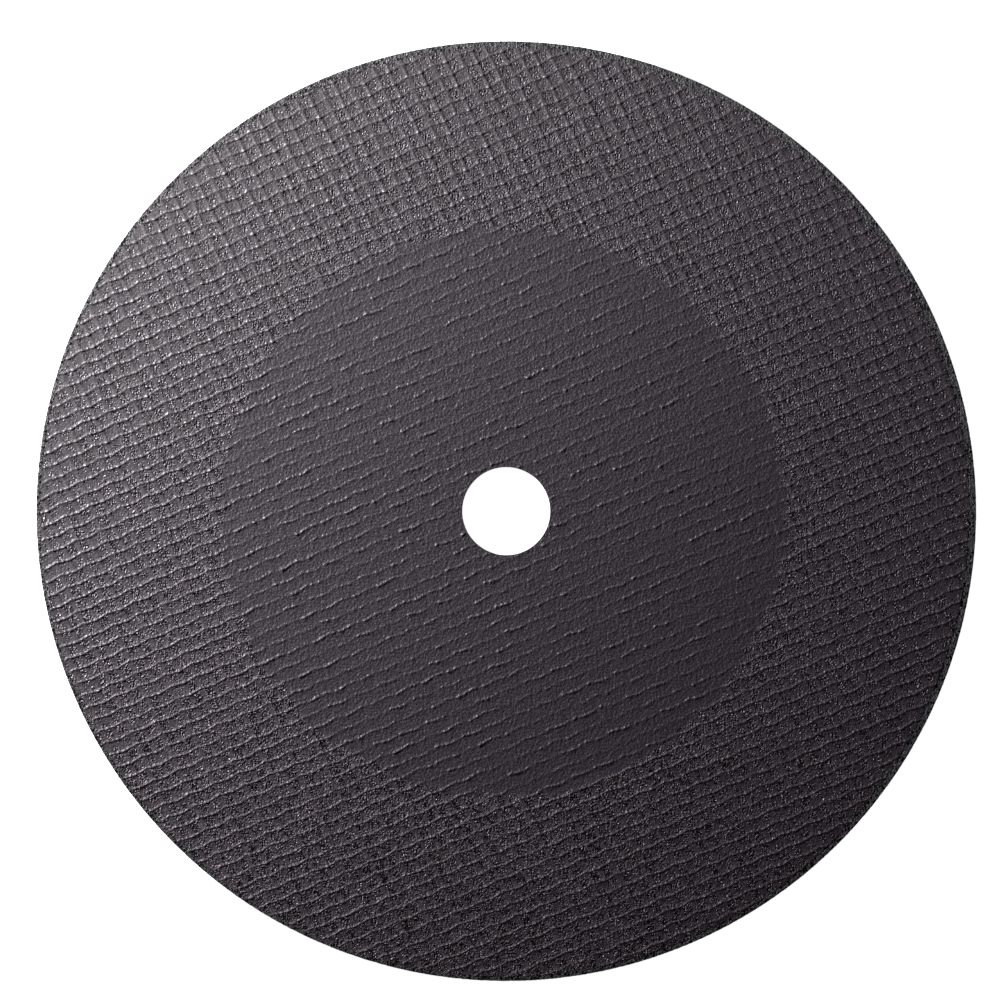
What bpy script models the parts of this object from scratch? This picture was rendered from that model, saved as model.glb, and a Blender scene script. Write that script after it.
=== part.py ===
"""Flat reinforced cut-off wheel, lying on its lower face.

Metres, +Z up. The origin is the centre of the arbor hole on the lower face,
so the wheel fills z = 0 to THICKNESS. The section is symmetric about the
middle of the thickness: two flat faces, a shallow step where the cloth
facing ends, a bare rim band outside it, and softened corners at the rim and
at the arbor hole.
"""

import math

import bmesh
import bpy

# Driving dimensions
OUTER_DIAMETER = 0.350
BORE_DIAMETER = 0.032
THICKNESS = 0.0035

# Edge of the cloth facing: its diameter, how far it stands above the bare
# rim band, and the radial run of the small slope between the two
FACING_DIAMETER = 0.3458
FACING_STEP = 0.00016
FACING_SLOPE = 0.00025

# Clamped area on each face, where a pair of flanges grips the wheel
FLANGE_SEAT_DIAMETER = 0.120

# Corners
RIM_CORNER_RADIUS = 0.00045
RIM_CORNER_STEPS = 3
BORE_CHAMFER = 0.00012

# Facets round the wheel
SEGMENTS = 180

# Finish: dark resin-bonded grit, matt
WHEEL_COLOUR = (0.066, 0.058, 0.064, 1.0)
WHEEL_ROUGHNESS = 0.62
WHEEL_METALLIC = 0.0


def clear_scene():
    for obj in list(bpy.data.objects):
        bpy.data.objects.remove(obj, do_unlink=True)


def upper_half_section():
    """(radius, height above the middle plane) from the rim inwards."""
    half = THICKNESS / 2
    rim = OUTER_DIAMETER / 2
    bore = BORE_DIAMETER / 2
    facing = FACING_DIAMETER / 2
    band = half - FACING_STEP
    points = []
    for i in range(RIM_CORNER_STEPS + 1):
        turn = 0.5 * math.pi * i / RIM_CORNER_STEPS
        points.append(
            (
                rim - RIM_CORNER_RADIUS * (1 - math.cos(turn)),
                band - RIM_CORNER_RADIUS * (1 - math.sin(turn)),
            )
        )
    points.append((facing + FACING_SLOPE, band))
    points.append((facing, half))
    points.append((FLANGE_SEAT_DIAMETER / 2, half))
    points.append((bore + BORE_CHAMFER, half))
    points.append((bore, half - BORE_CHAMFER))
    return points


def section():
    """The closed section as (x, z). It runs outwards along the upper face,
    down the rim, inwards along the lower face and up the wall of the hole."""
    upper = upper_half_section()
    middle = THICKNESS / 2
    lower = [(x, middle - z) for x, z in upper]
    outward = [(x, middle + z) for x, z in reversed(upper)]
    return outward + lower


def make_material():
    material = bpy.data.materials.new("bonded_abrasive")
    material.use_nodes = True
    shader = material.node_tree.nodes["Principled BSDF"]
    shader.inputs["Base Color"].default_value = WHEEL_COLOUR
    shader.inputs["Roughness"].default_value = WHEEL_ROUGHNESS
    shader.inputs["Metallic"].default_value = WHEEL_METALLIC
    material.diffuse_color = WHEEL_COLOUR
    return material


def make_wheel(material):
    mesh = bpy.data.meshes.new("wheel_disc")
    bm = bmesh.new()
    ring = [bm.verts.new((x, 0.0, z)) for x, z in section()]
    for i, vert in enumerate(ring):
        bm.edges.new((vert, ring[(i + 1) % len(ring)]))
    bm.to_mesh(mesh)
    bm.free()

    wheel = bpy.data.objects.new("wheel_disc", mesh)
    bpy.context.scene.collection.objects.link(wheel)
    mesh.materials.append(material)

    screw = wheel.modifiers.new("turned_section", "SCREW")
    screw.axis = "Z"
    screw.angle = 2 * math.pi
    screw.steps = SEGMENTS
    screw.render_steps = SEGMENTS
    screw.use_merge_vertices = True
    screw.merge_threshold = 0.00001
    screw.use_smooth_shade = True
    return wheel


def shade(wheel):
    """Keeps the modelled shape as a mesh, smooth round the wheel and crisp at
    the corners of the section."""
    graph = bpy.context.evaluated_depsgraph_get()
    turned = bpy.data.meshes.new_from_object(wheel.evaluated_get(graph))
    turned.name = "wheel_disc_turned"
    wheel.modifiers.clear()
    wheel.data = turned
    turned.shade_smooth()
    turned.set_sharp_from_angle(angle=math.radians(20))


def main():
    clear_scene()
    wheel = make_wheel(make_material())
    shade(wheel)


main()
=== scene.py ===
"""Looks of a flat reinforced cut-off wheel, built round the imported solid.

Metres, +Z up, origin at the centre of the arbor hole on the lower face. The
wheel's one solid is stood for by four pieces that ride with it:

  wheel_body           the bonded grit: rim band, rim wall and arbor hole
  front_ring_facing    the coarse, cloth-marked ring of the upper face
  front_middle_facing  the smooth middle of the upper face
  back_facing          the lower face, finished plainly

Both faces carry the print of an open glass mesh: thin raised weft lines and
flat warp bands, with grit showing in the windows between them.
"""

import math

import bmesh
import bpy
import numpy as np
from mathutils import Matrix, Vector


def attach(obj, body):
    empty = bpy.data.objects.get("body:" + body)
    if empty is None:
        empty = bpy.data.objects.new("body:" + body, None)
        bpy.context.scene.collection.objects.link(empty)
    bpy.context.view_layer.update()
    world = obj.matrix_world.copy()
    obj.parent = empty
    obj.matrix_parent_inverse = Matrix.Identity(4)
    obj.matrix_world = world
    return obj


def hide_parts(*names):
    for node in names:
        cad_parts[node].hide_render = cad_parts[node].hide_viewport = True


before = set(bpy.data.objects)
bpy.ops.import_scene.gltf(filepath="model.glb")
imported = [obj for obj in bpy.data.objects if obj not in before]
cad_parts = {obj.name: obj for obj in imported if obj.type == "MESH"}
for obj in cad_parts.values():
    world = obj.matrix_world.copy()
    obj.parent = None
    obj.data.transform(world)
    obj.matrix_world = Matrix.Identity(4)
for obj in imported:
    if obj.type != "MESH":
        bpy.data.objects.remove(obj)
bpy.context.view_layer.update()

MM = 0.001

# ---------------------------------------------------------------- sizes, mm
RIM_R = 174.97
BORE_R = 16.44
THICK = 3.5

FACING_R = 172.75  # reach of the cloth facing
FACING_SHIFT = (-0.62, -0.48)  # it sits a little to the lower left
MIDDLE_R = 105.3  # the smooth middle
MIDDLE_SHIFT = (-1.15, -0.75)
SEAM_R = 102.6  # where the two front pieces meet, inside the smooth middle

FLOOR_Z = 3.265  # windows of the mesh, on the upper face
BAND_Z = 3.17  # bare rim band
UNDER_Z = 3.03  # hidden underside of a facing
BODY_Z = 3.09  # hidden flat of the body, under the facings

# ---------------------------------------------------------------- the mesh
WEFT_PITCH = 4.9745
WARP_PITCH = 5.1794
WEFT_ANGLE = math.radians(113.0)  # across the weft lines
WARP_ANGLE = math.radians(24.0)  # across the warp bands
PULL_R = 175.13  # the cloth's slight pull out of square, in turns over this
WEFT_PULL = (-0.0283, 0.0110, 0.0861, -0.3065, -0.2841, -0.0100, 0.0172, -0.0743, 0.0286)
WARP_PULL = (0.3998, -0.0331, -0.2970, -0.2702, -0.1579, -0.2391, 0.1582, -0.5500, 0.4627)
WEFT_START = 0.4583  # so that a line's crest is at a whole number
WARP_START = 0.0310  # and a band's middle at one half


def pull(x, y, k):
    """The cloth's distortion in turns, and its slopes along x and y per mm."""
    a, b = x / PULL_R, y / PULL_R
    value = (
        k[0] * a
        + k[1] * b
        + k[2] * a * a
        + k[3] * a * b
        + k[4] * b * b
        + k[5] * a**3
        + k[6] * a * a * b
        + k[7] * a * b * b
        + k[8] * b**3
    )
    along_x = (
        k[0] + 2 * k[2] * a + k[3] * b + 3 * k[5] * a * a + 2 * k[6] * a * b + k[7] * b * b
    ) / PULL_R
    along_y = (
        k[1] + k[3] * a + 2 * k[4] * b + k[6] * a * a + 2 * k[7] * a * b + 3 * k[8] * b * b
    ) / PULL_R
    return value, along_x, along_y


def weft_count(x, y):
    """Weft lines crossed from the centre, in pitches, and its slopes."""
    value, dx, dy = pull(x, y, WEFT_PULL)
    cx, cy = math.cos(WEFT_ANGLE) / WEFT_PITCH, math.sin(WEFT_ANGLE) / WEFT_PITCH
    return cx * x + cy * y + WEFT_START + value, cx + dx, cy + dy


def warp_count(x, y):
    """Warp bands crossed from the centre, in pitches, and its slopes."""
    value, dx, dy = pull(x, y, WARP_PULL)
    cx, cy = math.cos(WARP_ANGLE) / WARP_PITCH, math.sin(WARP_ANGLE) / WARP_PITCH
    return cx * x + cy * y + WARP_START + value, cx + dx, cy + dy


def place_of(u, v):
    """x, y in mm where the cloth has warp count u and weft count v."""
    a, b = math.cos(WARP_ANGLE) / WARP_PITCH, math.sin(WARP_ANGLE) / WARP_PITCH
    c, d = math.cos(WEFT_ANGLE) / WEFT_PITCH, math.sin(WEFT_ANGLE) / WEFT_PITCH
    det = a * d - b * c
    x = (d * (u - WARP_START) - b * (v - WEFT_START)) / det
    y = (-c * (u - WARP_START) + a * (v - WEFT_START)) / det
    for _ in range(7):
        fu, ux, uy = warp_count(x, y)
        fv, vx, vy = weft_count(x, y)
        eu, ev = u - fu, v - fv
        det = ux * vy - uy * vx
        x = x + (vy * eu - uy * ev) / det
        y = y + (-vx * eu + ux * ev) / det
    return x, y


# ------------------------------------------------------- seeded smooth noise
def step(x, low, high):
    t = np.clip((x - low) / (high - low), 0.0, 1.0)
    return t * t * (3 - 2 * t)


def yarn_noise(index, along, seed, waves):
    """Smooth noise along each yarn, about +-1. index is the yarn's number,
    along its own coordinate in pitches, waves the wavelengths in pitches."""
    rng = np.random.default_rng(seed)
    turn = rng.random((512, len(waves)))
    size = 0.6 + 0.8 * rng.random((512, len(waves)))
    i = (np.asarray(index).astype(int) + 256) % 512
    total = 0.0
    for j, wave in enumerate(waves):
        total = total + size[i, j] * np.sin(2 * np.pi * (along / wave + turn[i, j]))
    return total / math.sqrt(len(waves))


def field_noise(x, y, seed, wave, count=14):
    """Smooth noise over the plane, about +-1, from plane waves near one
    wavelength in mm."""
    rng = np.random.default_rng(seed)
    total = np.zeros_like(x)
    for _ in range(count):
        heading = rng.random() * 2 * np.pi
        k = 2 * np.pi / (wave * (0.7 + 0.9 * rng.random()))
        phase = rng.random() * 2 * np.pi
        total += np.sin(k * (math.cos(heading) * x + math.sin(heading) * y) + phase)
    return total / math.sqrt(count / 2)


def ragged(theta, seed, sizes):
    """A rough outline's departure from its circle, in mm. sizes maps the
    number of waves round the circle to their height."""
    rng = np.random.default_rng(seed)
    total = np.zeros_like(theta)
    for count, size in sizes:
        for _ in range(3):
            n = int(round(count * (0.8 + 0.4 * rng.random())))
            total += size * np.sin(n * theta + rng.random() * 2 * np.pi) / 1.7
    return total


# --------------------------------------------------------------- the relief
def between(count, first, rule):
    """A yarn's own value of a rule, blended into its neighbour's half way."""
    n = np.floor(count - first)
    e = step(count - first - n, 0.2, 0.8)
    return (1 - e) * rule(n) + e * rule(n + 1)


# A weft line's shift over two warp bands, in pitches: it is lifted by one
# band of each pair and pressed down by the other
RING_WAVE = (
    (0.0, 0.024), (0.12, 0.015), (0.25, 0.066), (0.38, 0.12), (0.5, 0.12), (0.66, 0.093),
    (0.78, 0.008), (0.95, 0.026), (1.08, 0.036), (1.17, 0.0), (1.35, -0.007), (1.55, -0.06),
    (1.7, -0.014), (1.85, 0.053), (2.0, 0.024),
)
MIDDLE_WAVE = (
    (0.0, 0.067), (0.25, 0.1), (0.5, 0.134), (0.66, 0.156), (0.8, 0.064), (1.0, 0.072),
    (1.2, 0.028), (1.5, 0.004), (1.68, 0.015), (1.8, 0.052), (2.0, 0.067),
)
# How much a line stands out over the same length, in the ring
RING_BEADS = (
    (0.0, 1.05), (0.062, 0.83), (0.188, 0.62), (0.312, 0.88), (0.438, 0.86), (0.562, 0.7),
    (0.688, 1.9), (0.812, 1.2), (0.938, 0.93), (1.062, 1.78), (1.188, 0.75), (1.312, 1.05),
    (1.438, 1.9), (1.562, 1.72), (1.688, 0.78), (1.812, 0.82), (1.938, 1.4), (2.0, 1.05),
)
# The same in the smooth middle
MIDDLE_BEADS = (
    (0.0, 1.02), (0.2, 0.86), (0.31, 0.68), (0.44, 0.68), (0.56, 0.84), (0.69, 0.95),
    (0.94, 1.15), (1.06, 1.25), (1.2, 1.2), (1.31, 0.98), (1.5, 1.05), (1.69, 0.82),
    (1.81, 0.84), (2.0, 1.02),
)


def repeated(table, x):
    knots = np.array(table)
    return np.interp(x % knots[-1, 0], knots[:, 0], knots[:, 1])


def crest_shift(u, v, zone):
    """How far a weft line lies from its mean place, in pitches."""

    def rule(n):
        wander = (0.020 + 0.010 * zone) * yarn_noise(n, u, 11, (5.3, 11.7, 2.9))
        return repeated(RING_WAVE, u) * (1 - zone) + repeated(MIDDLE_WAVE, u) * zone + wander

    return between(v, 0.0, rule)


def band_shift(u, v):
    """How far a warp band lies from its mean place, in pitches."""
    return between(u, 0.5, lambda n: 0.035 * yarn_noise(n, v, 23, (7.1, 15.0, 3.7)))


def smooth_zone(gap):
    """1 in the smooth middle, 0 outside it."""
    return 1 - step(gap, -1.4, 0.2)


def yarn_place(b, w, zone_edge):
    """x, y in mm of band coordinate b and line coordinate w."""
    u, v = b.copy(), w.copy()
    zone = smooth_zone(zone_edge.gap(*place_of(u, v)))
    for _ in range(4):
        u, v = b + band_shift(u, v), w + crest_shift(u, v, zone)
    return place_of(u, v)


def ring_crest(n, u):
    """Height in mm of weft line n in the coarse ring, without its beads."""
    yarn = 1 + 0.14 * yarn_noise(n, u, 31, (9.0, 23.0))
    return 0.134 * yarn * (1 + 0.24 * yarn_noise(n, u, 37, (0.83, 0.61, 0.37)))


def middle_crest(n, u):
    """The same in the smooth middle: dashes two bands long, each with a knot
    at its start, staggered from line to line and some barely there."""
    along = 0.5 * (u - 0.30 + n) + 0.035 * yarn_noise(n, u, 41, (6.0, 13.0))
    place = along % 1.0
    odds = np.random.default_rng(61).random((512, 64))
    own = odds[(n.astype(int) + 256) % 512, (np.floor(along).astype(int) + 512) % 64]
    knot = 0.75 * np.exp(-0.5 * ((place - 0.055) / 0.034) ** 2)
    run = step(place, 0.0, 0.05) * (1 - step(place, 0.74, 0.92)) * (1 - 0.45 * place)
    strong = 1 + 0.20 * np.cos(np.pi * n + 2 * np.pi * u / 31.0)
    strong = strong + 0.15 * yarn_noise(n, u, 43, (3.1, 8.0, 17.0))
    rough = 1 + 0.38 * yarn_noise(n, u, 47, (0.7, 1.1, 0.43))
    height = 0.083 * repeated(MIDDLE_BEADS, u) * np.clip(strong, 0.3, 2.0)
    return height * (0.30 + (run + knot) * (0.25 + 1.25 * own)) * rough


def relief(x, y, zone, seed):
    """Height above the window floor in mm, and the point's cloth coordinates:
    band coordinate, line coordinate and crest height. zone is 1 in the
    smooth middle."""
    u = warp_count(x, y)[0]
    v = weft_count(x, y)[0]
    b = u - band_shift(u, v)
    w = v - crest_shift(u, v, zone)
    off_line = (w - np.round(w)) * WEFT_PITCH
    off_band = (b - np.floor(b) - 0.5) * WARP_PITCH
    crest = between(v, 0.0, lambda n: ring_crest(n, u) * (1 - zone) + middle_crest(n, u) * zone)
    crest = crest * (1 - 0.2 * y / 150) * (1 - 0.20 * zone * x / 100)
    beads = repeated(RING_BEADS, b) * (1 - zone) + zone
    lean = 0.46 + 0.07 * zone * (1 - 2 * step(off_line, -0.3, 0.3))
    ridge = crest * beads * np.exp(-0.5 * (off_line / lean) ** 2)
    flat = 1 - step(np.abs(off_band), 0.35, 1.0)
    thick = between(u, 0.5, lambda n: 0.034 + 0.012 * yarn_noise(n, v, 53, (1.3, 2.9)))
    flat = flat * thick * (1 - 0.75 * zone) * (1 + 0.5 * y / 150)
    # every other window is a little higher: the cloth steps up at one band
    # of a pair and down at the other
    pair = b % 2.0
    terrace = 0.008 * (step(pair, 0.26, 0.46) - step(pair, 1.30, 1.68) - 0.5) * (1 - 0.6 * zone)
    swell = 0.014 * field_noise(x, y, seed, 6.5) + 0.009 * field_noise(x, y, seed + 1, 2.8)
    h = ridge + (flat + terrace) * (1 - 0.6 * np.exp(-0.5 * (off_line / 0.48) ** 2)) + swell + 0.02 * zone
    return np.clip(h, -0.06, 0.232), b, w, crest


# ---------------------------------------------------------- mesh, from grids
class Outline:
    """A round outline with a slightly rough edge."""

    def __init__(self, radius, shift, seed=0, sizes=()):
        self.radius, self.shift, self.seed, self.sizes = radius, shift, seed, sizes

    def angle(self, x, y):
        return np.arctan2(y - self.shift[1], x - self.shift[0])

    def reach(self, theta):
        return self.radius + ragged(theta, self.seed, self.sizes)

    def gap(self, x, y):
        """How far a point is outside the outline, in mm."""
        return np.hypot(x - self.shift[0], y - self.shift[1]) - self.reach(self.angle(x, y))

    def onto(self, x, y):
        theta = self.angle(x, y)
        r = self.reach(theta)
        return self.shift[0] + r * np.cos(theta), self.shift[1] + r * np.sin(theta)


class Sheet:
    """A grid along the yarns, cut to the area between two round outlines.
    rows are its lines' distances from a weft crest and columns their
    distances from a warp band's middle, in mm."""

    def __init__(self, rows, columns, inner, outer, zone_edge):
        reach = outer.radius + 6.0
        n = int(reach / WEFT_PITCH) + 3
        m = int(reach / WARP_PITCH) + 3
        w = (np.arange(-n, n + 1)[:, None] + np.array(rows) / WEFT_PITCH).ravel()
        b = (np.arange(-m, m + 1)[:, None] + 0.5 + np.array(columns) / WARP_PITCH).ravel()
        B, W = np.meshgrid(b, w)
        x, y = yarn_place(B, W, zone_edge)
        r, c = B.shape
        i = np.arange(r * c).reshape(r, c)
        quads = np.stack([i[:-1, :-1], i[:-1, 1:], i[1:, 1:], i[1:, :-1]], -1).reshape(-1, 4)
        x, y = x.ravel(), y.ravel()
        q = quads[len(quads) // 2]
        turn = (x[q[1]] - x[q[0]]) * (y[q[2]] - y[q[0]]) - (y[q[1]] - y[q[0]]) * (x[q[2]] - x[q[0]])
        if turn < 0:
            quads = quads[:, ::-1]
        for edge in (inner, outer):  # near points move onto the outline
            near = np.abs(edge.gap(x, y)) < 0.14
            x[near], y[near] = edge.onto(x[near], y[near])
        self.x, self.y, self.quads, self.extra = x, y, quads, []
        self.cut(outer, 1)
        self.cut(inner, -1)
        self.tidy()

    def cut(self, edge, keep):
        """Keeps the part inside the edge (keep 1) or outside it (keep -1)."""
        gap = edge.gap(self.x, self.y) * keep
        side = np.where(np.abs(gap) < 1e-3, 0, np.sign(gap)).astype(int)
        s = side[self.quads]
        whole = self.quads[(s.max(1) <= 0) & (s.min(1) < 0)]
        crossed = self.quads[(s.max(1) > 0) & (s.min(1) < 0)].tolist()
        kept = []
        for face in self.extra:
            t = [side[p] for p in face]
            if max(t) <= 0:
                kept.append(face)
            elif min(t) < 0:
                crossed.append(face)
        pairs = {}
        for face in crossed:
            for p, q in zip(face, face[1:] + face[:1]):
                if side[p] * side[q] < 0:
                    pairs.setdefault((min(p, q), max(p, q)), len(pairs))
        ends = np.array(list(pairs), int).reshape(-1, 2)
        low, high = np.zeros(len(ends)), np.ones(len(ends))
        ax, ay = self.x[ends[:, 0]], self.y[ends[:, 0]]
        dx, dy = self.x[ends[:, 1]] - ax, self.y[ends[:, 1]] - ay
        sign = np.sign(gap[ends[:, 0]])
        for _ in range(22):
            t = (low + high) / 2
            same = np.sign(edge.gap(ax + t * dx, ay + t * dy) * keep) == sign
            low, high = np.where(same, t, low), np.where(same, high, t)
        t = (low + high) / 2
        first = len(self.x)
        self.x = np.concatenate([self.x, ax + t * dx])
        self.y = np.concatenate([self.y, ay + t * dy])
        for face in crossed:
            new = []
            for p, q in zip(face, face[1:] + face[:1]):
                if side[p] <= 0:
                    new.append(p)
                if side[p] * side[q] < 0:
                    new.append(first + pairs[(min(p, q), max(p, q))])
            if len(new) > 2:
                kept.append(new)
        self.quads, self.extra = whole, kept

    def tidy(self):
        """Renumbers the points in use, and triangulates the cut faces."""
        tris = []
        for face in self.extra:
            for k in range(1, len(face) - 1):
                tris.append([face[0], face[k], face[k + 1]])
        tris = np.array(tris, int).reshape(-1, 3)
        used = np.unique(np.concatenate([self.quads.ravel(), tris.ravel()]))
        number = np.full(len(self.x), -1)
        number[used] = np.arange(len(used))
        self.x, self.y = self.x[used], self.y[used]
        self.quads, self.tris = number[self.quads], number[tris]

    def loop(self, edge):
        """The points on an outline, in order round it."""
        on = np.nonzero(np.abs(edge.gap(self.x, self.y)) < 5e-3)[0]
        return on[np.argsort(edge.angle(self.x[on], self.y[on]))]


def bridge(inner, outer, angle_in, angle_out):
    """Triangles between two loops of point numbers, each in order of angle."""
    faces = []
    i = j = 0
    n, m = len(inner), len(outer)
    a = np.append(angle_in, angle_in[0] + 2 * np.pi)
    b = np.append(angle_out, angle_out[0] + 2 * np.pi)
    while i < n or j < m:
        if j >= m or (i < n and a[i + 1] <= b[j + 1]):
            faces.append((inner[i % n], inner[(i + 1) % n], outer[j % m]))
            i += 1
        else:
            faces.append((inner[i % n], outer[(j + 1) % m], outer[j % m]))
            j += 1
    return np.array(faces)


def strip(top, bottom):
    """Quads between two loops of as many points."""
    return np.stack([np.roll(top, -1), top, bottom, np.roll(bottom, -1)], 1)


def mesh_object(name, points, faces, attributes=None, spots=None):
    """points in mm, faces as a list of arrays. attributes are vectors for
    each point, spots a map position for each corner."""
    mesh = bpy.data.meshes.new(name)
    faces = [np.asarray(f, np.int32) for f in faces if len(f)]
    loops = np.concatenate([f.ravel() for f in faces])
    totals = np.concatenate([np.full(len(f), f.shape[1], np.int32) for f in faces])
    starts = np.concatenate([[0], np.cumsum(totals)[:-1]]).astype(np.int32)
    mesh.vertices.add(len(points))
    mesh.vertices.foreach_set("co", (np.asarray(points) * MM).astype(np.float32).ravel())
    mesh.loops.add(len(loops))
    mesh.loops.foreach_set("vertex_index", loops)
    mesh.polygons.add(len(totals))
    mesh.polygons.foreach_set("loop_start", starts)
    mesh.polygons.foreach_set("loop_total", totals)
    mesh.update(calc_edges=True)
    for label, values in (attributes or {}).items():
        kind = mesh.attributes.new(label, "FLOAT_VECTOR", "POINT")
        kind.data.foreach_set("vector", np.asarray(values, np.float32).ravel())
    if spots is not None:
        layer = mesh.uv_layers.new(name="OFBake")
        layer.uv.foreach_set("vector", np.asarray(spots, np.float32).ravel())
    mesh.shade_smooth()
    mesh.set_sharp_from_angle(angle=math.radians(52))
    obj = bpy.data.objects.new(name, mesh)
    bpy.context.scene.collection.objects.link(obj)
    return obj


# ---------------------------------------------------------------- the faces
RIM_ROUGH = ((9, 0.10), (31, 0.07), (110, 0.07), (260, 0.06))
BORE_ROUGH = ((5, 0.01), (40, 0.010))

facing_edge = Outline(FACING_R, FACING_SHIFT, 5, RIM_ROUGH)
middle_edge = Outline(MIDDLE_R, MIDDLE_SHIFT)
seam = Outline(SEAM_R, MIDDLE_SHIFT)
bore_edge = Outline(BORE_R, (0.0, 0.0), 7, BORE_ROUGH)
back_edge = Outline(FACING_R, (0.45, -0.30), 8, RIM_ROUGH)
ALL_COARSE = Outline(-60.0, (0.0, 0.0))


def facing(name, rows, columns, inner, outer, zone_edge, seed, turn_over=False):
    """A closed thin solid with the relief on top, between two outlines."""
    sheet = Sheet(rows, columns, inner, outer, zone_edge)
    x, y = sheet.x, sheet.y
    zone_gap = zone_edge.gap(x, y)
    zone = smooth_zone(zone_gap)
    h, b, w, crest = relief(x, y, zone, seed)
    thin = 0.0
    if outer in (facing_edge, back_edge):  # its own edge is pressed thin
        thin = step(outer.gap(x, y), -1.3, 0.0)
    if inner is bore_edge:
        thin = np.maximum(thin, 0.5 * (1 - step(inner.gap(x, y), 0.0, 0.5)))
    z = FLOOR_Z + h * (1 - 0.5 * thin) - 0.02 * thin
    top = np.stack([x, y, z], 1)
    out, into = sheet.loop(outer), sheet.loop(inner)
    under_out, under_in = top[out], top[into]
    under_out[:, 2] = under_in[:, 2] = UNDER_Z
    n = len(top)
    lo = n + np.arange(len(out))
    li = n + len(out) + np.arange(len(into))
    points = np.concatenate([top, under_out, under_in])
    a_out = outer.angle(under_out[:, 0], under_out[:, 1])
    a_in = outer.angle(under_in[:, 0], under_in[:, 1])
    start = int(np.argmin(np.abs(np.angle(np.exp(1j * (a_in - a_out[0]))))))
    li_turned, a_in = np.roll(li, -start), np.unwrap(np.roll(a_in, -start))
    a_in = a_in - 2 * np.pi * round((a_in[0] - a_out[0]) / (2 * np.pi))
    wall_out = strip(out, lo)
    wall_in = strip(into, li)[:, ::-1]
    under = bridge(li_turned, lo, a_in, a_out)
    # the map: the face seen from above fills it, with the walls as thin
    # rings beside it and the hidden underside small in a free place
    span = 2 * (outer.radius + 1.3)
    flat = points[:, :2] - np.array(outer.shift)
    r = np.hypot(flat[:, 0], flat[:, 1])[:, None]
    flat[lo] *= 1 + 0.45 / r[lo]
    flat[li] *= 1 - 0.45 / r[li]
    spot = 0.5 + flat / span
    parts = [sheet.quads, sheet.tris, wall_out, wall_in, under]
    spots = [spot[p.ravel()] for p in parts]
    if inner.radius / outer.radius > 0.4:
        size, at = 0.86 * inner.radius / outer.radius, (0.5, 0.5)
    else:
        size, at = 0.15, (0.085, 0.085)
    spots[-1] = (spot[under.ravel()] - 0.5) * size + np.array(at)
    weave = np.stack([b, w, crest], 1)
    place = np.stack([np.clip(zone_gap, -30, 30), outer.gap(x, y), inner.gap(x, y)], 1)
    beneath = np.concatenate([out, into])
    weave = np.concatenate([weave, weave[beneath]])
    place = np.concatenate([place, place[beneath]])
    if turn_over:
        points = points * np.array([-1.0, 1.0, -1.0]) + np.array([0.0, 0.0, THICK])
    return mesh_object(name, points, parts, {"weave": weave, "place": place}, np.concatenate(spots))


ROWS = (-1.20, -0.74, -0.36, 0.0, 0.36, 0.74, 1.20)
RING_ROWS = (-1.10, -0.60, -0.21, 0.21, 0.60, 1.10)
BACK_ROWS = (-1.05, -0.50, 0.0, 0.50, 1.05)
RING_COLUMNS = (-0.95, -0.40, 0.40, 1.00, 1.48, 2.59)
MIDDLE_COLUMNS = (-2.34, -1.82, -1.30, -0.78, -0.26, 0.26, 0.78, 1.30, 1.82, 2.34)
BACK_COLUMNS = (-0.95, -0.38, 0.38, 0.95, 2.59)

ring_facing = facing("front_ring_facing", RING_ROWS, RING_COLUMNS, seam, facing_edge, middle_edge, 71)
middle_facing = facing("front_middle_facing", ROWS, MIDDLE_COLUMNS, bore_edge, seam, middle_edge, 71)
back_facing = facing("back_facing", BACK_ROWS, BACK_COLUMNS, bore_edge, back_edge, ALL_COARSE, 83, turn_over=True)


# ----------------------------------------------------------------- the body
def grains(rows, columns, seed):
    """Grit heights on a grid that closes on itself, about -0.5 to 0.5, lumpy
    at one or two grid steps."""
    rng = np.random.default_rng(seed)
    g = rng.random((rows, columns)) ** 1.5
    soft = g
    for axis in (0, 1):
        soft = 0.5 * soft + 0.25 * (np.roll(soft, 1, axis) + np.roll(soft, -1, axis))
    return 0.5 * (g - 0.4) + 1.1 * (soft - 0.4)


def rim_section(rim, top, start, corner):
    """(radius, height, outward r, outward z) from under the upper facing's
    edge, over the rim, to under the lower one's."""
    half = THICK / 2
    upper = [(r, top, 0.0, 1.0) for r in np.linspace(start, rim - corner, 9)]
    for t in (30, 60):
        s, c = math.sin(math.radians(t)), math.cos(math.radians(t))
        upper.append((rim - corner + corner * s, top - corner + corner * c, s, c))
    upper += [(rim, z, 1.0, 0.0) for z in np.linspace(top - corner, half + 0.2, 4)]
    lower = [(r, 2 * half - z, nr, -nz) for r, z, nr, nz in reversed(upper)]
    return np.array(upper + lower)


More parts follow.
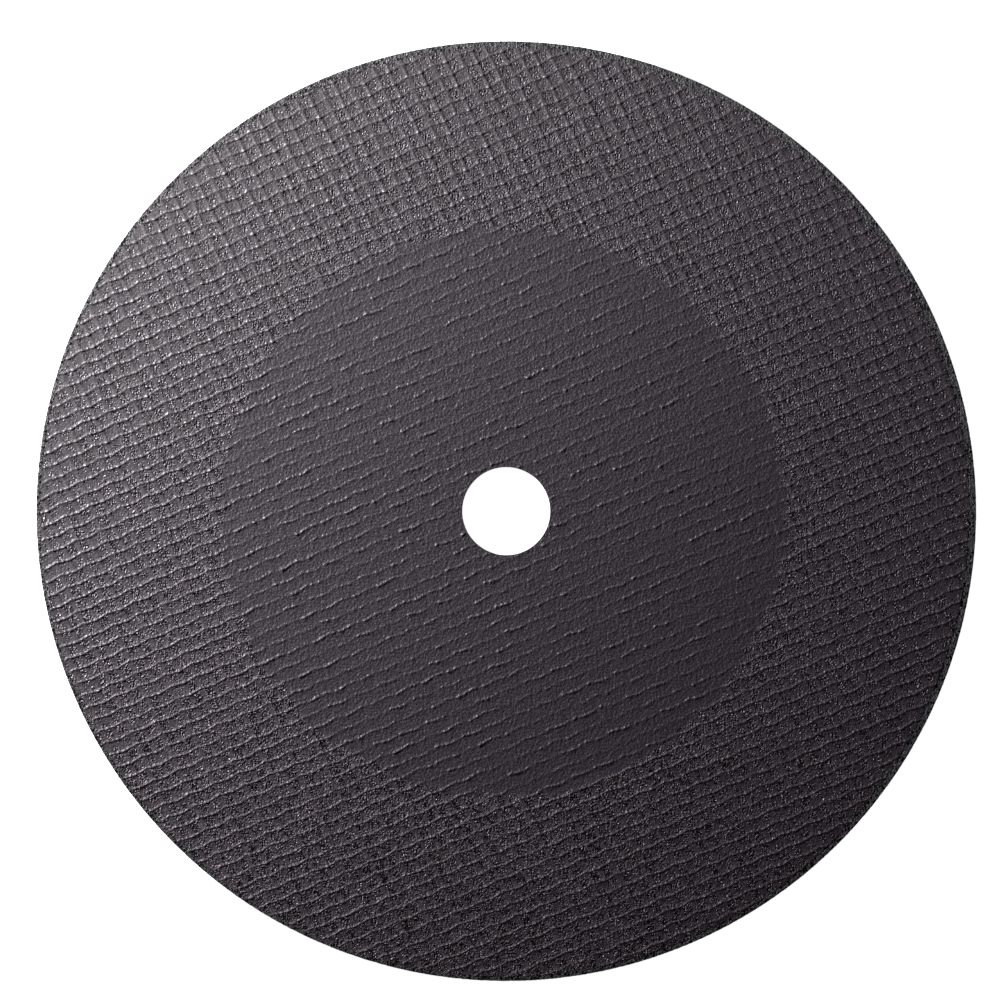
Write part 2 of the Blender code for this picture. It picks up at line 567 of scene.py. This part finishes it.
def make_body():
    """The bonded grit, turned, with a grainy rim and a grainy hole."""
    sectors, each = 8, 336
    around = sectors * each
    top = BAND_Z
    section = rim_section(RIM_R - 0.02, top, 171.15, 0.38)
    rows = len(section)
    theta = np.arange(around) / around * 2 * np.pi
    push = 0.21 * grains(rows, around, 97)
    push[0] = push[-1] = -0.06
    push[9:-9] -= 0.03
    r = section[:, 0:1] + section[:, 2:3] * push
    z = section[:, 1:2] + section[:, 3:4] * push
    r = np.minimum(r, RIM_R)
    points = np.stack([r * np.cos(theta), r * np.sin(theta), z], -1).reshape(-1, 3)
    i = np.arange(rows * around).reshape(rows, around)
    j = np.roll(i, -1, axis=1)
    rim = np.stack([i[:-1], i[1:], j[1:], j[:-1]], -1)
    # the wall of the hole
    hole = 336
    phi = np.arange(hole) / hole * 2 * np.pi
    levels = np.linspace(BODY_Z, THICK - BODY_Z, 9)
    dent = 0.10 * grains(len(levels), hole, 131)
    dent[0] = dent[-1] = 0.0
    rr = BORE_R - 0.08 + np.abs(dent)
    wall = np.stack([rr * np.cos(phi), rr * np.sin(phi), levels[:, None] + 0 * phi], -1).reshape(-1, 3)
    w = len(points) + np.arange(len(levels) * hole).reshape(len(levels), hole)
    wj = np.roll(w, -1, axis=1)
    bore = np.stack([w[:-1], wj[:-1], wj[1:], w[1:]], -1)
    upper = bridge(w[0], i[0], phi, theta)[:, ::-1]
    lower = bridge(w[-1], i[-1], phi, theta)
    points = np.concatenate([points, wall])
    # the map: the rim as strips one above another, then the hole, then the
    # hidden flats small in the free corner
    along = np.concatenate([[0], np.cumsum(np.hypot(np.diff(section[:, 0]), np.diff(section[:, 1])))])
    unit = 2 * math.pi * RIM_R / sectors + 3.0
    spots = np.zeros((rows - 1, around, 4, 2))
    for k, (row, column) in enumerate(((0, 0), (1, 0), (1, 1), (0, 1))):
        turn = np.arange(around)
        strip_of = turn // each
        spots[:, :, k, 0] = (1.5 + (turn % each + column) / each * (unit - 3.0)) / unit
        up = along[np.arange(rows - 1) + row][:, None] + 0.8
        spots[:, :, k, 1] = (up + strip_of * (along[-1] + 1.6)) / unit
    done = sectors * (along[-1] + 1.6) / unit
    hole_spots = np.zeros((len(levels) - 1, hole, 4, 2))
    for k, (row, column) in enumerate(((0, 0), (0, 1), (1, 1), (1, 0))):
        hole_spots[:, :, k, 0] = (1.5 + (np.arange(hole) + column) / hole * 2 * math.pi * BORE_R) / unit
        hole_spots[:, :, k, 1] = done + (1.0 + (levels[0] - levels[np.arange(len(levels) - 1) + row])[:, None]) / unit
    rest = 0.5 * (1 - done) - 0.03
    flat = points[:, :2] / (RIM_R * 2.02)
    flats = [flat[upper.ravel()] * rest * 1.6 + (0.30, 1 - rest), flat[lower.ravel()] * rest * 1.6 + (0.72, 1 - rest)]
    spots = np.concatenate([spots.reshape(-1, 2), hole_spots.reshape(-1, 2), *flats])
    return mesh_object("wheel_body", points, [rim.reshape(-1, 4), bore.reshape(-1, 4), upper, lower], spots=spots)


body = make_body()

for piece in (body, ring_facing, middle_facing, back_facing):
    bm = bmesh.new()
    bm.from_mesh(piece.data)
    volume = bm.calc_volume(signed=True)
    open_edges = sum(1 for e in bm.edges if not e.is_manifold)
    triangles = sum(len(f.verts) - 2 for f in bm.faces)
    bm.free()
    print(f"{piece.name}: {triangles} triangles, {volume * 1e9:.0f} mm3, {open_edges} open edges")


# ---------------------------------------------------------------- materials
class Nodes:
    """Short names for building a shader tree."""

    def __init__(self, name):
        self.material = bpy.data.materials.new(name)
        self.material.use_nodes = True
        self.tree = self.material.node_tree
        self.shader = self.tree.nodes["Principled BSDF"]

    def new(self, kind, **settings):
        node = self.tree.nodes.new(kind)
        for key, value in settings.items():
            setattr(node, key, value)
        return node

    def put(self, socket, value):
        if isinstance(value, bpy.types.NodeSocket):
            self.tree.links.new(value, socket)
        elif value is not None:
            socket.default_value = value

    def maths(self, operation, a, b=None, c=None):
        node = self.new("ShaderNodeMath", operation=operation)
        for socket, value in zip(node.inputs, (a, b, c)):
            self.put(socket, value)
        return node.outputs[0]

    def add(self, *terms):
        total = terms[0]
        for term in terms[1:]:
            total = self.maths("ADD", total, term)
        return total

    def times(self, *terms):
        total = terms[0]
        for term in terms[1:]:
            total = self.maths("MULTIPLY", total, term)
        return total

    def less(self, a, b):
        return self.maths("SUBTRACT", a, b)

    def size(self, a):
        return self.maths("ABSOLUTE", a)

    def bell(self, x, width):
        """1 where x is 0, falling off like a bell of this width."""
        scaled = self.times(x, 1.0 / width)
        return self.maths("EXPONENT", self.times(scaled, scaled, -0.5))

    def ramp(self, value, low, high, out_low=0.0, out_high=1.0, smooth=True):
        node = self.new("ShaderNodeMapRange", interpolation_type="SMOOTHSTEP" if smooth else "LINEAR")
        self.put(node.inputs["Value"], value)
        node.inputs["From Min"].default_value = low
        node.inputs["From Max"].default_value = high
        node.inputs["To Min"].default_value = out_low
        node.inputs["To Max"].default_value = out_high
        return node.outputs[0]

    def table(self, value, knots):
        """A repeating table of heights over a coordinate, as a curve."""
        span, top = knots[-1][0], max(y for _, y in knots)
        node = self.new("ShaderNodeFloatCurve")
        curve = node.mapping.curves[0]
        for x, y in knots[1:-1]:
            curve.points.new(x / span, y / top)
        curve.points[0].location = (0.0, knots[0][1] / top)
        curve.points[len(knots) - 1].location = (1.0, knots[-1][1] / top)
        node.mapping.update()
        self.put(node.inputs["Value"], self.maths("FRACT", self.times(value, 1.0 / span)))
        return self.times(node.outputs[0], top)

    def scaled(self, vector, factor):
        node = self.new("ShaderNodeVectorMath", operation="SCALE")
        self.put(node.inputs[0], vector)
        self.put(node.inputs["Scale"], factor)
        return node.outputs[0]

    def noise(self, vector, scale, detail=2.0, rough=0.5, distortion=0.0):
        node = self.new("ShaderNodeTexNoise")
        self.put(node.inputs["Vector"], vector)
        node.inputs["Scale"].default_value = scale
        node.inputs["Detail"].default_value = detail
        node.inputs["Roughness"].default_value = rough
        node.inputs["Distortion"].default_value = distortion
        return node.outputs["Fac"]

    def cells(self, vector, scale):
        """Distance to the nearest grain, in its own sizes, and its number."""
        node = self.new("ShaderNodeTexVoronoi", feature="F1")
        self.put(node.inputs["Vector"], vector)
        node.inputs["Scale"].default_value = scale
        return node.outputs["Distance"], self.split(node.outputs["Color"])[0]

    def chance(self, x, y, seed):
        """A number from 0 to 1 for each whole x and y."""
        both = self.new("ShaderNodeCombineXYZ")
        self.put(both.inputs[0], x)
        self.put(both.inputs[1], y)
        both.inputs[2].default_value = seed
        node = self.new("ShaderNodeTexWhiteNoise", noise_dimensions="3D")
        self.put(node.inputs["Vector"], both.outputs[0])
        return node.outputs["Value"]

    def mix(self, factor, a, b):
        node = self.new("ShaderNodeMix", data_type="RGBA")
        self.put(node.inputs["Factor"], factor)
        self.put([x for x in node.inputs if x.name == "A" and x.type == "RGBA"][0], a)
        self.put([x for x in node.inputs if x.name == "B" and x.type == "RGBA"][0], b)
        return [x for x in node.outputs if x.type == "RGBA"][0]

    def split(self, vector):
        node = self.new("ShaderNodeSeparateXYZ")
        self.put(node.inputs[0], vector)
        return node.outputs

    def attribute(self, name):
        return self.split(self.new("ShaderNodeAttribute", attribute_name=name).outputs["Vector"])

    def finish(self, colour, roughness, height_mm):
        self.put(self.shader.inputs["Base Color"], colour)
        self.put(self.shader.inputs["Roughness"], roughness)
        bump = self.new("ShaderNodeBump")
        bump.inputs["Strength"].default_value = 1.0
        bump.inputs["Distance"].default_value = MM
        self.put(bump.inputs["Height"], height_mm)
        self.put(self.shader.inputs["Normal"], bump.outputs["Normal"])
        return self.material

    def place_mm(self):
        return self.scaled(self.new("ShaderNodeTexCoord").outputs["Object"], 1000.0)


MIDDLE_COOL = (0.0400, 0.0389, 0.0402, 1.0)
MIDDLE_WARM = (0.0490, 0.0369, 0.0526, 1.0)
RING_COOL = (0.0485, 0.0462, 0.0482, 1.0)
RING_WARM = (0.0590, 0.0446, 0.0575, 1.0)
SHINE_TINT = (1.0, 0.86, 0.97, 1.0)
PIT_PAINTED_SHADE = (0.0050, 0.0042, 0.0048, 1.0)
PALE_GRIT_AND_GLINT = (0.2500, 0.2180, 0.2420, 1.0)
RIM_PAINTED_SHADE = (0.0170, 0.0161, 0.0178, 1.0)
RIM_GREY = (0.0620, 0.0605, 0.0660, 1.0)
RIM_PALE_GRIT_AND_GLINT = (0.1950, 0.1920, 0.2050, 1.0)


def facing_material():
    n = Nodes("cloth_marked_grit")
    mm = n.place_mm()
    b, w, crest = n.attribute("weave")
    zone_gap, out_gap, in_gap = n.attribute("place")
    wobble = n.less(n.noise(mm, 0.75, 1.5), 0.5)
    line_mm = n.times(n.less(n.maths("FRACT", n.add(w, 0.5)), 0.5), WEFT_PITCH)
    band_mm = n.times(n.less(n.maths("FRACT", b), 0.5), WARP_PITCH)
    row = n.maths("FLOOR", w)
    column = n.maths("FLOOR", n.add(b, 0.5))

    # where the coarse ring starts, ragged from row to row of windows
    jump = n.add(
        n.times(n.less(n.chance(row, n.maths("SIGN", b), 3.0), 0.5), 2.6),
        n.times(n.less(n.chance(row, column, 5.0), 0.5), 1.4),
        n.times(wobble, 3.0),
    )
    ring = n.ramp(n.add(zone_gap, jump), -0.22, 0.22)

    # the print is deepest a little below the ring's middle radius, and fades
    # towards the rim
    x, y, _ = n.split(n.scaled(mm, 1 / 175))
    depth = n.add(
        1.845,
        n.times(y, -0.229),
        n.times(x, n.add(n.times(x, -1.338), n.times(y, 0.101), 0.046)),
        n.times(y, y, -0.993),
    )
    lower = n.add(0.84, n.times(y, -0.30))
    tilt = n.add(
        1.03,
        n.times(y, n.add(n.times(y, 0.36), n.times(x, 0.34), -0.05)),
        n.times(x, n.add(n.times(x, -0.16), 0.08)),
    )
    depth = n.times(n.maths("MAXIMUM", n.maths("MINIMUM", depth, 1.6), 0.45), n.add(lower, 0.04), tilt)

    # the windows of the mesh, between bands and lines
    open_band = n.ramp(n.add(n.size(n.add(band_mm, 0.12)), n.times(wobble, 2.2)), 0.45, 1.30)
    open_line = n.ramp(n.add(n.size(line_mm), n.times(wobble, 0.7)), 0.46, 0.82)
    fill = n.ramp(n.chance(row, column, 9.0), 0.0, 0.6, 0.75, 1.0)
    clump = n.ramp(n.noise(mm, 0.40, 1.0), 0.38, 0.57, 0.25, 1.22)
    window = n.times(open_band, open_line, ring, fill)

    # grit in the windows: rounded grains with deep pits between them
    away, pick = n.cells(mm, 1.00)
    dome = n.times(n.ramp(away, 0.08, 0.60, 1.0, 0.0), n.ramp(pick, 0.0, 1.0, 0.2, 1.0, False))
    near, which = n.cells(mm, 1.30)
    core = n.ramp(near, 0.56, 0.42)
    pit = n.times(core, n.ramp(which, 0.50, 0.42))
    spark = n.times(core, n.ramp(which, 0.84, 0.92))
    fine = n.less(n.noise(mm, 1.50, 0.0, 0.6), 0.5)
    paper = n.less(n.noise(mm, 1.10, 1.5, 0.60), 0.5)
    grit_mm = n.times(n.add(n.times(dome, 0.30), n.times(fine, 1.35), n.times(pit, -0.50), n.times(spark, 0.20)), depth, clump)
    paper_mm = n.times(paper, n.add(0.43, n.times(ring, n.add(-0.06, n.times(n.less(depth, 1.0), 0.22)))))

    beads = n.add(1.0, n.times(ring, n.less(n.table(b, RING_BEADS), 1.0)))
    # in the middle a line is steeper on its upper side
    below = n.add(2.35, n.times(ring, 0.68))
    lean = n.add(below, n.times(n.ramp(line_mm, -0.2, 0.2), n.less(3.35, below), n.less(1.0, ring)))
    off = n.times(line_mm, lean)
    ridge = n.times(n.maths("EXPONENT", n.times(off, off, -0.5)), crest, n.add(1.35, n.times(ring, -0.03)), beads)
    uneven = n.ramp(n.chance(row, n.maths("FLOOR", b), 17.0), 0.0, 1.0, 0.4, 1.5, False)
    # the bands stand out most in the upper left of the ring
    proud = n.times(n.maths("MAXIMUM", n.add(0.045, n.times(y, 0.095)), 0.0), n.ramp(x, 0.0, 0.6, 1.0, 0.68))
    band = n.times(n.bell(n.less(band_mm, 0.06), 0.47), uneven, n.add(0.01, n.times(ring, proud)))
    height = n.add(
        ridge,
        band,
        n.times(window, grit_mm),
        n.times(n.less(1.0, n.times(window, 0.6)), paper_mm),
    )

    hue = n.ramp(n.add(n.times(x, 0.70), n.times(y, -0.71), n.times(wobble, 0.10)), -1.0, 1.0, 0.0, 1.0, False)
    middle = n.mix(hue, MIDDLE_COOL, MIDDLE_WARM)
    coarse = n.mix(hue, RING_COOL, RING_WARM)
    smooth = n.scaled(n.mix(ring, middle, coarse), n.add(1.0, n.times(fine, 1.6)))
    # pale grain tops: partly the grit's own pale colour, partly painted glints, the painted glints weaker towards the
    # top
    glint_facet = n.times(n.ramp(pick, 0.60, 0.85), n.ramp(away, 0.36, 0.14))
    open_grit = n.times(n.ramp(clump, 0.25, 0.90), lower)
    # the hollows between grains are painted near black: painted shade in the pits
    hollow = n.times(pit, open_grit)
    pale_and_glint = n.times(n.maths("MAXIMUM", n.times(glint_facet, 0.6), spark), open_grit, lower, lower)
    grain = n.mix(hollow, n.mix(pale_and_glint, coarse, PALE_GRIT_AND_GLINT), PIT_PAINTED_SHADE)
    colour = n.mix(window, smooth, grain)
    rough = n.add(
        0.44,
        n.times(paper, -0.35),
        n.times(n.bell(line_mm, 0.40), ring, -0.02),
        n.times(window, n.add(n.times(hollow, 0.55), n.times(n.less(lower, 0.50), -0.24))),
    )
    n.shader.inputs["Specular Tint"].default_value = SHINE_TINT
    n.put(n.shader.inputs["Specular IOR Level"], n.less(0.5, n.times(hollow, window, 0.48)))
    return n.finish(colour, rough, height)


def body_material():
    n = Nodes("bonded_grit")
    mm = n.place_mm()
    away, pick = n.cells(mm, 1.22)
    dome = n.times(n.ramp(away, 0.08, 0.60, 1.0, 0.0), n.ramp(pick, 0.0, 1.0, 0.3, 1.0, False))
    near, which = n.cells(mm, 0.95)
    pit = n.times(n.ramp(near, 0.56, 0.40), n.ramp(which, 0.54, 0.44))
    fine = n.less(n.noise(mm, 1.3, 2.5, 0.65), 0.5)
    x, y, _ = n.split(n.scaled(mm, 1 / 175))
    rugged = n.less(1.0, n.times(y, 0.28))
    height = n.times(n.add(n.times(dome, 0.32), n.times(fine, 0.65), n.times(pit, -0.45)), rugged)
    # pale grain facets: partly the grit's own pale colour, partly painted glints
    glint_facet = n.times(n.ramp(pick, 0.66, 0.90), n.ramp(away, 0.36, 0.14))
    # the bare grit is painted darker at the left, on the key light's side, and greyer at the right: painted shade
    bare = n.mix(n.ramp(x, -1.0, 1.0, 0.0, 1.0, False), RIM_PAINTED_SHADE, RIM_GREY)
    # the pits are painted near black: painted shade in the hollows, stronger towards the bottom
    colour = n.mix(n.times(pit, n.times(rugged, 0.9)), n.mix(glint_facet, bare, RIM_PALE_GRIT_AND_GLINT), PIT_PAINTED_SHADE)
    rough = n.add(0.48, n.times(fine, -0.4), n.times(pit, 0.4))
    n.shader.inputs["Specular Tint"].default_value = (1.0, 0.94, 0.99, 1.0)
    n.put(n.shader.inputs["Specular IOR Level"], n.less(0.5, n.times(pit, 0.46)))
    return n.finish(colour, rough, height)


cloth = facing_material()
grit = body_material()
for piece, material in ((ring_facing, cloth), (middle_facing, cloth), (back_facing, cloth), (body, grit)):
    piece.data.materials.append(material)
    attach(piece, "root")
    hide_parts("wheel_disc")


# -------------------------------------------------------------- floor, light
def make_floor():
    mesh = bpy.data.meshes.new("floor")
    s = 14.0
    mesh.from_pydata([(-s, -s, -0.0002), (s, -s, -0.0002), (s, s, -0.0002), (-s, s, -0.0002)], [], [(0, 1, 2, 3)])
    floor = bpy.data.objects.new("floor", mesh)
    bpy.context.scene.collection.objects.link(floor)
    n = Nodes("white_floor")
    n.shader.inputs["Base Color"].default_value = (0.9, 0.9, 0.9, 1.0)
    n.shader.inputs["Roughness"].default_value = 0.9
    n.shader.inputs["Specular IOR Level"].default_value = 0.0
    n.shader.inputs["Emission Color"].default_value = (1.0, 1.0, 1.0, 1.0)
    n.shader.inputs["Emission Strength"].default_value = 0.97
    mesh.materials.append(n.material)


make_floor()


def area_light(name, place, target, size, power, spread=math.pi):
    """An area light in metres and watts that the camera doesn't see."""
    data = bpy.data.lights.new(name, "AREA")
    data.shape = "DISK"
    data.size = size
    data.energy = power
    data.spread = spread
    light = bpy.data.objects.new(name, data)
    light.location = place
    light.rotation_mode = "QUATERNION"
    light.rotation_quaternion = (Vector(target) - Vector(place)).to_track_quat("-Z", "Y")
    light.visible_camera = False
    bpy.context.scene.collection.objects.link(light)
    return light


# Low at the upper left and turned away from the wheel, so that the light
# falls off across it
area_light("key", (-0.668, 0.342, 0.303), (-0.706, 0.426, 0.0), 0.10, 116.0)

world = bpy.data.worlds.new("studio")
world.use_nodes = True
sky = world.node_tree.nodes["Background"]
sky.inputs["Color"].default_value = (1.0, 1.0, 1.0, 1.0)
sky.inputs["Strength"].default_value = 0.04
seen_sky = world.node_tree.nodes.new("ShaderNodeBackground")
seen_sky.inputs["Color"].default_value = (1.0, 1.0, 1.0, 1.0)
seen_sky.inputs["Strength"].default_value = 1.0
ray = world.node_tree.nodes.new("ShaderNodeLightPath")
choose = world.node_tree.nodes.new("ShaderNodeMixShader")
out = world.node_tree.nodes["World Output"]
world.node_tree.links.new(ray.outputs["Is Camera Ray"], choose.inputs["Fac"])
world.node_tree.links.new(sky.outputs[0], choose.inputs[1])
world.node_tree.links.new(seen_sky.outputs[0], choose.inputs[2])
world.node_tree.links.new(choose.outputs[0], out.inputs["Surface"])
bpy.context.scene.world = world

# ------------------------------------------------------------------- camera
PIXEL = 0.37215 * MM  # of the square frame, 1000 wide, at the upper face
CENTRE_AT = (506.22, 511.10)
FAR = 3.0
camera_data = bpy.data.cameras.new("camera")
camera_data.sensor_width = 36.0
camera_data.lens = 36.0 * FAR / (1000 * PIXEL)
camera_data.clip_start = 0.1
camera_data.clip_end = 50.0
camera = bpy.data.objects.new("camera", camera_data)
camera.location = (-(CENTRE_AT[0] - 500) * PIXEL, (CENTRE_AT[1] - 500) * PIXEL, THICK * MM + FAR)
bpy.context.scene.collection.objects.link(camera)
bpy.context.scene.camera = camera

bpy.context.scene.view_settings.view_transform = "Standard"
bpy.context.scene.view_settings.look = "None"
